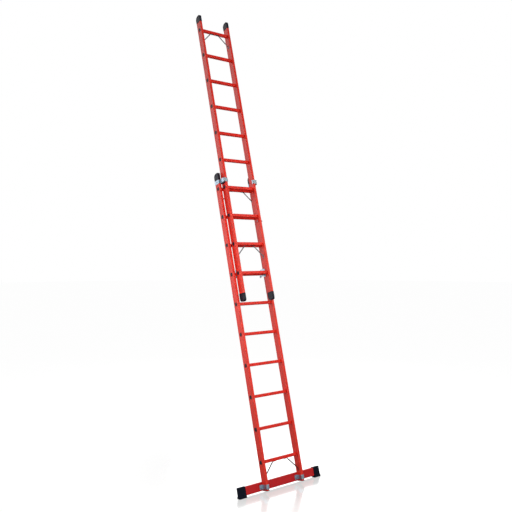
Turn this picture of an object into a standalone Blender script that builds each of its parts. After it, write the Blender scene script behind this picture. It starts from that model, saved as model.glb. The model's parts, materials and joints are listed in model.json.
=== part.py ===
"""A two-section push-up extension ladder with glass-fibre stiles and rungs.

The wide base section stands on a stabiliser bar with two rubber feet. The narrower fly section slides up
the front of it, between two guide brackets at the base's top, and hangs on the base's rungs by two steel
hooks, each locked under the rung by a sprung latch.

Every piece is drawn in the frame of its own section: X runs across the ladder, Y from the climber's side
to the wall, and Z up the stiles from the middle of that section's lowest rung. The base section's frame
leans by LEAN, and the fly section's frame hangs from it. Lengths are in metres.
"""

import math

import bmesh
import bpy
from mathutils import Vector

# ---- driving dimensions -----------------------------------------------------------------------------
LEAN = math.radians(15.5)  # the ladder's lean towards the wall, from upright
RUNG_PITCH = 0.280
RUNG_COUNT = 10  # in each section
RUNGS_EXTENDED = 6  # base rungs below the fly's lowest rung
BASE_WIDTH = 0.420  # over the outer faces of the stiles
FLY_WIDTH = 0.352
FLY_FORWARD = 0.0605  # from the plane of the base's rungs to the plane of the fly's rungs
GAP = 0.0003  # between pieces that touch

STILE_DEPTH = 0.067
STILE_THICKNESS = 0.025
STILE_WALL = 0.0035
STILE_CORNER = 0.003
GROOVE_DEPTH = 0.0012  # a shallow groove runs along both sides of a stile
GROOVE_HALF = 0.0215  # half its width
GROOVE_SLOPE = 0.002
BASE_BELOW_RUNG = 0.233  # from the lowest rung down to the stile's end
FLY_BELOW_RUNG = 0.191
STILE_ABOVE_RUNG = 0.085  # from the top rung up to the stile's end

RUNG_SIZE = 0.028  # both ways
RUNG_CORNER = 0.004
RUNG_WALL = 0.0025

PLUG_DEEP = 0.030  # how far a cap or shoe reaches into its stile
PLUG_SUNK = 0.004  # how far that plug runs on inside the cap or shoe
PLUG_FLANGE = 0.003  # thickness of the base's end plugs outside their stiles
END_LIP = 0.001  # how far a cap or shoe stands out beyond the stile's faces
END_CHAMFER = 0.0015
END_RIM = 0.007  # width of the rim round the recess in each side of a cap or shoe
END_RECESS = 0.0015
CAP_HEIGHT = 0.071
CAP_BACK_ROUND = 0.036
CAP_FRONT_ROUND = 0.012
SHOE_HEIGHT = 0.077
SHOE_BACK_ROUND = 0.026
SHOE_FRONT_ROUND = 0.020

BAR_LENGTH = 0.900
BAR_HEIGHT = 0.072
BAR_DEPTH = 0.028
BAR_WALL = 0.003
BAR_CORNER = 0.003
BAR_MIDDLE_Z = -0.1975
FOOT_LENGTH = 0.070
FOOT_WALL = 0.004
FOOT_END = 0.005  # rubber beyond the end of the bar
SOLE_FRONT_Z = -0.2513  # the sole's front edge, the lowest point of the ladder
SOLE_TOP_Z = -0.226
SOLE_SHOULDER = 0.005  # height over which the sole widens
SOLE_FLARE = 0.006  # how much wider the sole is than the foot, at each end
SOLE_FLARE_DEEP = 0.003  # and at its front and back

PLATE = 0.003  # steel strip of the brackets and guides
BRACKET_HEIGHT = 0.040
BRACKET_FLANGE = 0.025
BRACKET_MIDDLE_Z = -0.202
GUIDE_HEIGHT = 0.038
GUIDE_MIDDLE_Z = 2.585
GUIDE_PLAY = 0.0015  # between the fly's stile and the guide in front of it
GUIDE_OUTER_X = 0.1945  # outer face of the guide beside the fly's stile
GUIDE_LIP = 0.014  # how far the guide wraps round onto the inner face of each stile
GLIDE_DROP = 0.011  # how far the plastic glide block hangs below its guide

BRACE_ROD = 0.005  # radius
BRACE_FLAT = 0.015  # width of its flattened ends, which are PLATE thick
BRACE_TAPER = 0.014  # along X, from a bend to the full round rod
BRACE_TIP = 0.004  # length over which each end narrows, and each bend flattens
BRACE_SIDES = 8
BRACE_REACH = 0.103  # from the stile to the bend under the rung
BRACE_DROP = 0.105  # from the rung down to the bend at the stile
BRACE_TAB = 0.036  # flat under the rung
BRACE_LUG = 0.024  # flat against the stile

HOOK_PLATE = 0.005
HOOK_TOP_Z = 0.044
HOOK_FRONT_Y = 0.0105
HOOK_BOTTOM_Z = -0.038
HOOK_LEG = 0.018  # depth of the leg behind the base's rung
HOOK_RIVET_Y = 0.022
HOOK_RIVETS_Z = (-0.0275, 0.0275)
LATCH_PLATE = 0.004
PIN_RADIUS = 0.003
RIVET_HEAD = 0.005  # radius of the heads of pins and rivets
RIVET_HEAD_HIGH = 0.002
RIVET_SUNK = 0.001  # how far a head overlaps the plate that it belongs to

BOLT_RADIUS = 0.003
BOLT_HOLE = 0.0034
BOLT_HEAD = 0.0072  # corner radius of a hexagon head
BOLT_HEAD_HIGH = 0.0045
BOLT_END = 0.003  # thread beyond the nut
STOP_Z = 0.513  # up the fly, of the bolt that meets the guide if the fly is pushed too far
STOP_REACH = 0.026  # from the fly's outer face to the stop bolt's head
STOP_SLEEVE = 0.0055  # radius

# ---- sizes that follow from them --------------------------------------------------------------------
TOP_RUNG_Z = (RUNG_COUNT - 1) * RUNG_PITCH
STILE_TOP_Z = TOP_RUNG_Z + STILE_ABOVE_RUNG
HALF_DEPTH = STILE_DEPTH / 2
HALF_RUNG = RUNG_SIZE / 2
BAR_FRONT_Y = HALF_DEPTH + GAP
BAR_MIDDLE_Y = BAR_FRONT_Y + BAR_DEPTH / 2
SOLE_FRONT_Y = BAR_FRONT_Y - FOOT_WALL - SOLE_FLARE_DEEP
FLY_FRONT_Y = -FLY_FORWARD - HALF_DEPTH  # in the base section's frame
FOOT_MIDDLE_X = BAR_LENGTH / 2 + FOOT_END - FOOT_LENGTH / 2
HOOK_INNER_X = FLY_WIDTH / 2 - STILE_THICKNESS - GAP - HOOK_PLATE
HOOK_LEG_Y = FLY_FORWARD + HALF_RUNG + 2 * GAP  # front face of the leg behind the base's rung
PIN_Y = HOOK_LEG_Y + HOOK_LEG / 2
PIN_Z = -0.0215
SIDES = (("left", -1), ("right", 1))

# ---- materials --------------------------------------------------------------------------------------
MATERIALS = {
    "red_fibreglass": ((0.72, 0.035, 0.012), 0.35, 0.0),
    "black_plastic": ((0.012, 0.013, 0.018), 0.45, 0.0),
    "black_rubber": ((0.010, 0.010, 0.012), 0.75, 0.0),
    "zinc_steel": ((0.46, 0.50, 0.54), 0.35, 1.0),
    "dull_steel": ((0.22, 0.22, 0.25), 0.40, 1.0),
}


def material(name):
    """The named Principled material, made the first time it is asked for."""
    if name in bpy.data.materials:
        return bpy.data.materials[name]
    colour, roughness, metallic = MATERIALS[name]
    made = bpy.data.materials.new(name)
    made.use_nodes = True
    shader = made.node_tree.nodes["Principled BSDF"]
    shader.inputs["Base Color"].default_value = (*colour, 1.0)
    shader.inputs["Roughness"].default_value = roughness
    shader.inputs["Metallic"].default_value = metallic
    return made


# ---- outlines: lists of (a, b) pairs, counter-clockwise round the origin ----------------------------
def rounded_rectangle(wide, high, radius, segments):
    """A rectangle whose corners are arcs of the given number of segments."""
    points = []
    for quarter, (a, b) in enumerate(((1, 1), (-1, 1), (-1, -1), (1, -1))):
        for step in range(segments + 1):
            turn = math.pi / 2 * (quarter + step / segments)
            points.append(
                (
                    a * (wide / 2 - radius) + radius * math.cos(turn),
                    b * (high / 2 - radius) + radius * math.sin(turn),
                )
            )
    return points


def stile_outline(inset):
    """The stile's section, drawn in by inset: a box with a shallow groove along both sides."""
    half_x = STILE_THICKNESS / 2 - inset
    corners = rounded_rectangle(2 * half_x, STILE_DEPTH - 2 * inset, STILE_CORNER - inset / 2, 2)
    groove = GROOVE_HALF - inset / 2
    right = [
        (half_x, -groove - GROOVE_SLOPE),
        (half_x - GROOVE_DEPTH, -groove),
        (half_x - GROOVE_DEPTH, groove),
        (half_x, groove + GROOVE_SLOPE),
    ]
    left = [(-a, -b) for a, b in right]
    return corners[:6] + left + corners[6:] + right


def circle(radius, sides):
    turns = [2 * math.pi * side / sides for side in range(sides)]
    return [(radius * math.cos(turn), radius * math.sin(turn)) for turn in turns]


def hexagon(radius):
    return circle(radius, 6)


def offset_line(line, distance):
    """The open line moved sideways by distance to its left, with mitred corners."""
    points = [Vector(point) for point in line]
    sideways = []
    for start, end in zip(points, points[1:]):
        along = (end - start).normalized()
        sideways.append(Vector((-along.y, along.x)))
    moved = []
    for place, point in enumerate(points):
        before = sideways[max(place - 1, 0)]
        after = sideways[min(place, len(sideways) - 1)]
        moved.append(tuple(point + (before + after) * distance / (1 + before.dot(after))))
    return moved


def strip(line, thickness):
    """The outline of a bent strip with one face on the line and the other to its left."""
    return list(line) + offset_line(line, thickness)[::-1]


# ---- rings and solids -------------------------------------------------------------------------------
def ring(outline, axis, at, centre=(0, 0)):
    """The outline as points in space, in the plane across the axis at the given place."""
    moved = [(a + centre[0], b + centre[1]) for a, b in outline]
    if axis == "X":
        return [(at, a, b) for a, b in moved]
    if axis == "Y":
        return [(b, at, a) for a, b in moved]
    return [(a, b, at) for a, b in moved]


def mesh_of(name, rings, closed_loop=False):
    """A closed mesh through rings of equal length, with its ends capped or, in a closed loop, joined."""
    shape = bmesh.new()
    rows = [[shape.verts.new(point) for point in points] for points in rings]
    pairs = list(zip(rows, rows[1:]))
    if closed_loop:
        pairs.append((rows[-1], rows[0]))
    else:
        shape.faces.new(rows[0][::-1])
        shape.faces.new(rows[-1])
    for low, high in pairs:
        for place in range(len(low)):
            follow = (place + 1) % len(low)
            shape.faces.new((low[place], low[follow], high[follow], high[place]))
    bmesh.ops.recalc_face_normals(shape, faces=shape.faces)
    if shape.calc_volume(signed=True) < 0:
        bmesh.ops.reverse_faces(shape, faces=shape.faces)
    mesh = bpy.data.meshes.new(name)
    shape.to_mesh(mesh)
    shape.free()
    return mesh


def add_object(name, mesh, parent, finish, at=(0, 0, 0)):
    """An object of this mesh in a section's frame, smooth across its small angles."""
    made = bpy.data.objects.new(name, mesh)
    bpy.context.scene.collection.objects.link(made)
    made.parent = parent
    made.location = at
    if not mesh.materials:
        mesh.materials.append(material(finish))
        mesh.shade_smooth()
        mesh.set_sharp_from_angle(angle=math.radians(35))
    return made


def add_solid(name, rings, parent, finish, closed_loop=False, at=(0, 0, 0)):
    return add_object(name, mesh_of(name, rings, closed_loop), parent, finish, at)


def add_tube(name, outline_at, wall, axis, ends, parent, finish, centre=(0, 0)):
    """An open-ended tube. outline_at(inset) gives its section at that depth below the surface."""
    outer = outline_at(0)
    inner = outline_at(wall)
    rings = [
        ring(outer, axis, ends[0], centre),
        ring(outer, axis, ends[1], centre),
        ring(inner, axis, ends[1], centre),
        ring(inner, axis, ends[0], centre),
    ]
    return add_solid(name, rings, parent, finish, closed_loop=True)


def add_cutter(name, bodies, parent):
    """One hidden object that holds separate closed bodies, each a list of two rings."""
    shape = bmesh.new()
    for number, rings in enumerate(bodies):
        mesh = mesh_of(f"{name}_{number}", rings)
        shape.from_mesh(mesh)
        bpy.data.meshes.remove(mesh)
    mesh = bpy.data.meshes.new(name)
    shape.to_mesh(mesh)
    shape.free()
    made = bpy.data.objects.new(name, mesh)
    bpy.context.scene.collection.objects.link(made)
    made.parent = parent
    made.hide_render = True
    made.display_type = "WIRE"
    return made


def combine(target, other, operation):
    """A Boolean of the target with a hidden object."""
    other.hide_render = True
    other.display_type = "WIRE"
    modifier = target.modifiers.new(f"{operation.lower()}_{other.name}", "BOOLEAN")
    modifier.operation = operation
    modifier.solver = "EXACT"
    modifier.object = other


def hole(axis, ends, centre, radius=BOLT_HOLE):
    """The two rings of a bolt hole's cutter."""
    outline = circle(radius, 8)
    return [ring(outline, axis, ends[0], centre), ring(outline, axis, ends[1], centre)]


# ---- fasteners --------------------------------------------------------------------------------------
def add_bolt(name, axis, head_at, nut_at, centre, parent):
    """A bolt with its nut. The head lies outside head_at and the nut outside nut_at, along the axis."""
    outward = math.copysign(1.0, head_at - nut_at)
    head = hexagon(BOLT_HEAD)
    shank = hexagon(BOLT_RADIUS)
    steps = [
        (head, head_at + outward * (GAP + BOLT_HEAD_HIGH)),
        (head, head_at + outward * GAP),
        (shank, head_at + outward * GAP),
        (shank, nut_at - outward * GAP),
        (head, nut_at - outward * GAP),
        (head, nut_at - outward * (GAP + BOLT_HEAD_HIGH)),
        (shank, nut_at - outward * (GAP + BOLT_HEAD_HIGH)),
        (shank, nut_at - outward * (GAP + BOLT_HEAD_HIGH + BOLT_END)),
    ]
    rings = [ring(outline, axis, at, centre) for outline, at in steps]
    return add_solid(name, rings, parent, "zinc_steel")


def rivet(sign, inner, outer, centre=(0, 0)):
    """The rings of a rivet along X. Its inner head grips the plate at inner, its outer head is at outer."""
    shank = circle(PIN_RADIUS - 0.0001, 8)
    head = circle(RIVET_HEAD, 8)
    steps = [
        (head, inner - RIVET_HEAD_HIGH),
        (head, inner + RIVET_SUNK),
        (shank, inner + RIVET_SUNK),
        (shank, outer),
        (head, outer),
        (head, outer + RIVET_HEAD_HIGH),
    ]
    return [ring(outline, "X", sign * at, centre) for outline, at in steps]


# ---- pieces that both sections have -----------------------------------------------------------------
def add_rungs(section, width, parent):
    """The rungs: square tubes that pass through both stiles, all with one mesh."""
    end = width / 2 - GROOVE_DEPTH
    outer = rounded_rectangle(RUNG_SIZE, RUNG_SIZE, RUNG_CORNER, 2)
    inner = rounded_rectangle(RUNG_SIZE - 2 * RUNG_WALL, RUNG_SIZE - 2 * RUNG_WALL, RUNG_CORNER / 2, 2)
    rings = [ring(outer, "X", -end), ring(outer, "X", end), ring(inner, "X", end), ring(inner, "X", -end)]
    mesh = mesh_of(f"{section}_rung", rings, closed_loop=True)
    for number in range(RUNG_COUNT):
        at = (0, 0, number * RUNG_PITCH)
        add_object(f"{section}_rung_{number + 1}", mesh, parent, "red_fibreglass", at)


def rung_hole(width, number):
    """The cutter that lets one rung through both stiles."""
    outline = rounded_rectangle(RUNG_SIZE + 2 * GAP, RUNG_SIZE + 2 * GAP, RUNG_CORNER, 2)
    centre = (0, number * RUNG_PITCH)
    beyond = width / 2 + 0.01
    return [ring(outline, "X", -beyond, centre), ring(outline, "X", beyond, centre)]


def add_stiles(section, width, below, parent, cutter):
    for side, sign in SIDES:
        centre = (sign * (width - STILE_THICKNESS) / 2, 0)
        ends = (-below, STILE_TOP_Z)
        made = add_tube(
            f"{section}_stile_{side}", stile_outline, STILE_WALL, "Z", ends, parent, "red_fibreglass", centre
        )
        combine(made, cutter, "DIFFERENCE")


def plug_outline():
    """The part of a cap, shoe or plug that fits inside a stile."""
    thin = STILE_THICKNESS - 2 * (STILE_WALL + GROOVE_DEPTH + GAP)
    deep = STILE_DEPTH - 2 * (STILE_WALL + GAP)
    return rounded_rectangle(thin, deep, 0.001, 2)


def end_outline(height, back_round, front_round, inset):
    """Side view of a cap from its stile up, as (y, z), drawn in by inset, with its two top corners round."""
    half = HALF_DEPTH + END_LIP - inset
    outline = [(-half, inset), (half, inset)]
    for sign, radius, first in ((1, back_round - inset, 0), (-1, front_round - inset, 90)):
        for step in range(7):
            turn = math.radians(first + 15 * step)
            y = sign * (half - radius) + radius * math.cos(turn)
            outline.append((y, height - inset - radius + radius * math.sin(turn)))
    return outline


def add_end_piece(name, middle_x, start_z, upward, shape, parent):
    """A cap (upward 1) or a shoe (upward -1) on a stile's end: a round body, recessed sides and a plug."""

    def outline(inset):
        return [(y, start_z + upward * z) for y, z in end_outline(*shape, inset)]

    half = STILE_THICKNESS / 2 + END_LIP
    steps = (
        (END_CHAMFER, middle_x - half),
        (0, middle_x - half + END_CHAMFER),
        (0, middle_x + half - END_CHAMFER),
        (END_CHAMFER, middle_x + half),
    )
    rings = [ring(outline(inset), "X", at) for inset, at in steps]
    made = add_solid(name, rings, parent, "black_plastic")
    plug_ends = (start_z - upward * PLUG_DEEP, start_z + upward * PLUG_SUNK)
    plug = [ring(plug_outline(), "Z", at, (middle_x, 0)) for at in plug_ends]
    combine(made, add_cutter(f"plug_{name}", [plug], parent), "UNION")
    recesses = []
    for side in (-1, 1):
        ends = (middle_x + side * (half - END_RECESS), middle_x + side * (half + 0.01))
        recesses.append([ring(outline(END_RIM), "X", at) for at in ends])
    combine(made, add_cutter(f"cutter_{name}", recesses, parent), "DIFFERENCE")
    return made


def add_top_caps(section, width, parent, cutter):
    """Plastic caps that plug the tops of the stiles."""
    shape = (CAP_HEIGHT, CAP_BACK_ROUND, CAP_FRONT_ROUND)
    for side, sign in SIDES:
        middle_x = sign * (width - STILE_THICKNESS) / 2
        made = add_end_piece(f"{section}_top_cap_{side}", middle_x, STILE_TOP_Z + GAP, 1, shape, parent)
        combine(made, cutter, "DIFFERENCE")


def add_braces(name, width, rung_z, parent):
    """Two bent steel rods, each flattened at both ends: one lies under a rung, one in a stile's groove."""
    thin = PLATE / 2
    wall = width / 2 - STILE_THICKNESS + GROOVE_DEPTH - GAP - thin
    under = rung_z - HALF_RUNG - GAP - thin
    knee = wall - BRACE_REACH
    low = under - BRACE_DROP
    slope = BRACE_DROP / BRACE_REACH
    flat = (BRACE_FLAT / 2, thin)
    tip = (BRACE_FLAT / 3, thin)
    rod = (BRACE_ROD, BRACE_ROD)
    stations = [
        (knee - BRACE_TAB, under, *tip),
        (knee - BRACE_TAB + BRACE_TIP, under, *flat),
        (knee - BRACE_TIP, under, *flat),
        (knee + BRACE_TAPER, under - BRACE_TAPER * slope, *rod),
        (wall - BRACE_TAPER, low + BRACE_TAPER * slope, *rod),
        (wall, low - BRACE_TIP, *flat),
        (wall, low - BRACE_LUG + BRACE_TIP, *flat),
        (wall, low - BRACE_LUG, *tip),
    ]
    outline = circle(1.0, BRACE_SIDES)
    rings = []
    for place, (x, z, wide, deep) in enumerate(stations):
        before = Vector(stations[max(place - 1, 0)][:2])
        after = Vector(stations[min(place + 1, len(stations) - 1)][:2])
        along = (after - before).normalized()
        rings.append([(x - along.y * deep * b, wide * a, z + along.x * deep * b) for a, b in outline])
    for side, sign in SIDES:
        mirrored = [[(sign * x, y, z) for x, y, z in points] for points in rings]
        add_solid(f"{name}_{side}", mirrored, parent, "dull_steel")


# ---- the base section -------------------------------------------------------------------------------
def add_end_plugs(parent):
    """Plastic plugs in the lower ends of the base's stiles."""
    bottom = -BASE_BELOW_RUNG
    flange = rounded_rectangle(STILE_THICKNESS, STILE_DEPTH, STILE_CORNER, 2)
    for side, sign in SIDES:
        centre = (sign * (BASE_WIDTH - STILE_THICKNESS) / 2, 0)
        rings = [
            ring(plug_outline(), "Z", bottom + PLUG_DEEP, centre),
            ring(plug_outline(), "Z", bottom - GAP, centre),
            ring(flange, "Z", bottom - GAP, centre),
            ring(flange, "Z", bottom - GAP - PLUG_FLANGE, centre),
        ]
        add_solid(f"base_end_plug_{side}", rings, parent, "black_plastic")


def bracket_bolt_x(sign, flange):
    """Across the ladder, the bolt of a bracket's inner (-1) or outer (1) flange."""
    middle = (BASE_WIDTH - STILE_THICKNESS) / 2
    reach = STILE_THICKNESS / 2 + GAP + PLATE + BRACKET_FLANGE / 2
    return sign * (middle + flange * reach)


def add_stabiliser_bar(parent):
    """The bar behind the stiles' feet, with holes for its four bolts."""

    def outline(inset):
        return rounded_rectangle(BAR_DEPTH - 2 * inset, BAR_HEIGHT - 2 * inset, BAR_CORNER - inset / 2, 2)

    ends = (-BAR_LENGTH / 2, BAR_LENGTH / 2)
    centre = (BAR_MIDDLE_Y, BAR_MIDDLE_Z)
    made = add_tube("stabiliser_bar", outline, BAR_WALL, "X", ends, parent, "red_fibreglass", centre)
    return made


def add_bar_brackets(parent, bar):
    """Hat-shaped straps: each goes round the front of a stile, and its two flanges are bolted to the bar."""
    front = BAR_FRONT_Y - PLATE - GAP
    back = BAR_FRONT_Y + BAR_DEPTH
    holes = []
    for side, sign in SIDES:
        middle = sign * (BASE_WIDTH - STILE_THICKNESS) / 2
        half = STILE_THICKNESS / 2 + GAP
        tip = half + PLATE + BRACKET_FLANGE
        line = [
            (middle - tip, front + PLATE),
            (middle - half, front + PLATE),
            (middle - half, -HALF_DEPTH - GAP),
            (middle + half, -HALF_DEPTH - GAP),
            (middle + half, front + PLATE),
            (middle + tip, front + PLATE),
        ]
        outline = strip(line[::-1], PLATE)
        low = BRACKET_MIDDLE_Z - BRACKET_HEIGHT / 2
        high = BRACKET_MIDDLE_Z + BRACKET_HEIGHT / 2
        made = add_solid(
            f"stabiliser_bracket_{side}",
            [ring(outline, "Z", low), ring(outline, "Z", high)],
            parent,
            "zinc_steel",
        )
        drilled = []
        for flange, place in ((-1, "inner"), (1, "outer")):
            centre = (BRACKET_MIDDLE_Z, bracket_bolt_x(sign, flange))
            drilled.append(hole("Y", (front - 0.01, back + 0.01), centre))
            add_bolt(f"stabiliser_bolt_{side}_{place}", "Y", front, back, centre, parent)
        combine(made, add_cutter(f"cutter_bracket_{side}", drilled, parent), "DIFFERENCE")
        holes += drilled
    combine(bar, add_cutter("cutter_bar", holes, parent), "DIFFERENCE")


def floor_z(y):
    """Where the floor cuts the base section's frame, for the leaning ladder, at this Y."""
    return SOLE_FRONT_Z + (y - SOLE_FRONT_Y) * math.tan(LEAN)


def add_foot(side, sign, parent):
    """A rubber shoe over the end of the bar, with a flared sole cut flat to the floor."""
    inner_x = sign * (FOOT_MIDDLE_X - FOOT_LENGTH / 2)
    outer_x = sign * (FOOT_MIDDLE_X + FOOT_LENGTH / 2)
    centre = (BAR_MIDDLE_Y, BAR_MIDDLE_Z)
    deep = BAR_DEPTH + 2 * FOOT_WALL
    high = BAR_HEIGHT + 2 * FOOT_WALL
    steps = [
        (rounded_rectangle(deep, high, 0.006, 2), inner_x),
        (rounded_rectangle(deep, high, 0.006, 2), outer_x - sign * 0.003),
        (rounded_rectangle(deep - 0.003, high - 0.003, 0.005, 2), outer_x - sign * 0.0008),
        (rounded_rectangle(deep - 0.006, high - 0.006, 0.004, 2), outer_x),
    ]
    rings = [ring(outline, "X", at, centre) for outline, at in steps]
    made = add_solid(f"stabiliser_foot_{side}", rings, parent, "black_rubber")

    sole_centre = (sign * FOOT_MIDDLE_X, BAR_MIDDLE_Y)
    neck = rounded_rectangle(FOOT_LENGTH - 0.002, deep - 0.002, 0.006, 2)
    flare = rounded_rectangle(FOOT_LENGTH + 2 * SOLE_FLARE, deep + 2 * SOLE_FLARE_DEEP, 0.008, 2)
    sole = [
        ring(neck, "Z", SOLE_TOP_Z, sole_centre),
        ring(flare, "Z", SOLE_TOP_Z - SOLE_SHOULDER, sole_centre),
        [(x, y, floor_z(y)) for x, y, _ in ring(flare, "Z", 0, sole_centre)],
    ]
    combine(made, add_cutter(f"sole_{side}", [sole], parent), "UNION")

    outline = rounded_rectangle(BAR_DEPTH + 2 * GAP, BAR_HEIGHT + 2 * GAP, BAR_CORNER, 2)
    ends = (inner_x - sign * 0.02, sign * (BAR_LENGTH / 2 + GAP))
    pocket = [ring(outline, "X", at, centre) for at in ends]
    combine(made, add_cutter(f"cutter_foot_{side}", [pocket], parent), "DIFFERENCE")


def guide_line(sign):
    """The guide strip's inner face, from its lip inside the base's stile, round the back to the fly's lip."""
    start = BASE_WIDTH / 2 - STILE_THICKNESS - GAP
    back = HALF_DEPTH + GAP
    outer = BASE_WIDTH / 2 + GAP
    beside = GUIDE_OUTER_X - PLATE
    front = FLY_FRONT_Y - GUIDE_PLAY
    inside = FLY_WIDTH / 2 - STILE_THICKNESS - GUIDE_PLAY
    line = [
        (start, back - GUIDE_LIP),
        (start, back),
        (outer, back),
        (outer, -HALF_DEPTH - GAP),
        (beside, -HALF_DEPTH - GAP),
        (beside, front),
        (inside, front),
        (inside, front + GUIDE_LIP + GUIDE_PLAY),
    ]
    return [(sign * x, y) for x, y in line]


def add_guides(parent, cutter):
    """Bent straps at the top of the base, with plastic glides, that hold the fly's stiles to its front."""
    low = GUIDE_MIDDLE_Z - GUIDE_HEIGHT / 2
    high = GUIDE_MIDDLE_Z + GUIDE_HEIGHT / 2
    for side, sign in SIDES:
        outline = strip(guide_line(sign), sign * PLATE)
        made = add_solid(
            f"guide_bracket_{side}",
            [ring(outline, "Z", low), ring(outline, "Z", high)],
            parent,
            "zinc_steel",
        )
        combine(made, cutter, "DIFFERENCE")
        outer = sign * (BASE_WIDTH / 2 + GAP + PLATE)
        inner = sign * (BASE_WIDTH / 2 - STILE_THICKNESS)
        add_bolt(f"guide_bolt_{side}", "X", outer, inner, (0, GUIDE_MIDDLE_Z), parent)
        add_glide(side, sign, low, high, parent)


def add_glide(side, sign, low, high, parent):
    """The plastic block that fills the guide beside the fly's stile."""
    near = FLY_WIDTH / 2 + GUIDE_PLAY
    far = GUIDE_OUTER_X - PLATE - GAP
    front = FLY_FRONT_Y - GUIDE_PLAY + GAP
    back = -HALF_DEPTH - PLATE - 3 * GAP
    outline = rounded_rectangle(far - near, back - front, 0.001, 1)
    centre = (sign * (near + far) / 2, (front + back) / 2)
    rings = [ring(outline, "Z", low - GLIDE_DROP, centre), ring(outline, "Z", high, centre)]
    add_solid(f"guide_glide_{side}", rings, parent, "black_plastic")


def build_base(frame):
    bodies = [rung_hole(BASE_WIDTH, number) for number in range(RUNG_COUNT)]
    bodies.append(hole("X", (-BASE_WIDTH / 2 - 0.02, BASE_WIDTH / 2 + 0.02), (0, GUIDE_MIDDLE_Z)))
    cutter = add_cutter("cutter_base", bodies, frame)
    add_stiles("base", BASE_WIDTH, BASE_BELOW_RUNG, frame, cutter)
    add_rungs("base", BASE_WIDTH, frame)
    add_top_caps("base", BASE_WIDTH, frame, cutter)
    add_end_plugs(frame)
    add_braces("base_brace_bottom", BASE_WIDTH, 0, frame)
    add_braces("base_brace_top", BASE_WIDTH, TOP_RUNG_Z, frame)
    add_guides(frame, cutter)
    add_bar_brackets(frame, add_stabiliser_bar(frame))
    for side, sign in SIDES:
        add_foot(side, sign, frame)


# ---- the fly section --------------------------------------------------------------------------------
def add_shoes(parent):
    """Plastic shoes that plug the lower ends of the fly's stiles, rounded to ride over the base's rungs."""
    shape = (SHOE_HEIGHT, SHOE_BACK_ROUND, SHOE_FRONT_ROUND)
    for side, sign in SIDES:
        middle_x = sign * (FLY_WIDTH - STILE_THICKNESS) / 2
        add_end_piece(f"fly_shoe_{side}", middle_x, -FLY_BELOW_RUNG - GAP, -1, shape, parent)


def hook_outline():
    """The hook's side view: a pad on the fly's stile, an arm over the base's rung and a leg behind it."""
    rung_top = HALF_RUNG + GAP
    throat = FLY_FORWARD - HALF_RUNG - 0.0015
    leg_back = HOOK_LEG_Y + HOOK_LEG
    leg_end = PIN_Z - 0.009
    return [
        (HOOK_FRONT_Y, HOOK_BOTTOM_Z + 0.004),
        (HOOK_FRONT_Y + 0.004, HOOK_BOTTOM_Z),
        (HALF_DEPTH - 0.002, HOOK_BOTTOM_Z),
        (throat - 0.002, -HALF_RUNG - 0.008),
        (throat, -HALF_RUNG - 0.002),
        (throat, rung_top),
        (HOOK_LEG_Y, rung_top),
        (HOOK_LEG_Y, leg_end + 0.005),
        (HOOK_LEG_Y + 0.005, leg_end),
        (leg_back - 0.005, leg_end),
        (leg_back, leg_end + 0.005),
        (leg_back, HOOK_TOP_Z - 0.018),
        (leg_back - 0.004, HOOK_TOP_Z - 0.008),
        (leg_back - 0.016, HOOK_TOP_Z),
        (HOOK_FRONT_Y + 0.010, HOOK_TOP_Z - 0.004),
        (HOOK_FRONT_Y, HOOK_TOP_Z - 0.011),
    ]


def latch_outline():
    """The latch's side view round its pin: a tongue under the base's rung and a thumb tail behind."""
    under = -HALF_RUNG - 2 * GAP - PIN_Z
    tip = FLY_FORWARD - HALF_RUNG - 0.002 - PIN_Y
    return [
        (tip, under - 0.006),
        (tip + 0.006, under - 0.013),
        (0.002, -0.008),
        (0.007, -0.008),
        (0.014, -0.015),
        (0.018, -0.011),
        (0.011, 0.005),
        (0.006, under),
        (tip, under),
    ]


def add_hook(side, sign, parent, cutter):
    """A rung hook with the two rivets that hold it to the stile, and its latch."""
    near = HOOK_INNER_X
    far = HOOK_INNER_X + HOOK_PLATE
    made = add_solid(
        f"fly_hook_{side}",
        [ring(hook_outline(), "X", sign * near), ring(hook_outline(), "X", sign * far)],
        parent,
        "zinc_steel",
    )
    combine(made, cutter, "DIFFERENCE")
    pin_hole = hole("X", (sign * (near - 0.01), sign * (far + 0.01)), (PIN_Y, PIN_Z), PIN_RADIUS + GAP)
    combine(made, add_cutter(f"cutter_hook_{side}", [pin_hole], parent), "DIFFERENCE")
    rivets = [rivet(sign, near, FLY_WIDTH / 2 + GAP, (HOOK_RIVET_Y, z)) for z in HOOK_RIVETS_Z]
    combine(made, add_cutter(f"rivets_{side}", rivets, parent), "UNION")
    add_latch(side, sign, parent)


def add_latch(side, sign, parent):
    """The latch and its riveted pin, turning about its own origin on the pin's axis."""
    pivot = bpy.data.objects.new(f"latch_pivot_{side}", None)
    bpy.context.scene.collection.objects.link(pivot)
    pivot.parent = parent
    pivot.location = (0, PIN_Y, PIN_Z)
    near = HOOK_INNER_X - GAP - LATCH_PLATE
    rings = [ring(latch_outline(), "X", sign * near), ring(latch_outline(), "X", sign * (near + LATCH_PLATE))]
    made = add_solid(f"fly_latch_{side}", rings, pivot, "zinc_steel")
    pin = rivet(sign, near, HOOK_INNER_X + HOOK_PLATE + GAP)
    combine(made, add_cutter(f"pin_{side}", [pin], pivot), "UNION")


def add_stop_bolt(frame):
    """A sleeved bolt that stands out beside the fly's right stile, in the way of the guide above it."""
    outer = FLY_WIDTH / 2
    centre = (0, STOP_Z)
    head_at = outer + STOP_REACH
    made = add_bolt("fly_stop_bolt", "X", head_at, outer - STILE_THICKNESS, centre, frame)
    outline = circle(STOP_SLEEVE, 12)
    sleeve = [ring(outline, "X", at, centre) for at in (outer + GAP, head_at + BOLT_HEAD_HIGH / 2)]
    combine(made, add_cutter("sleeve_stop_bolt", [sleeve], frame), "UNION")


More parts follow.
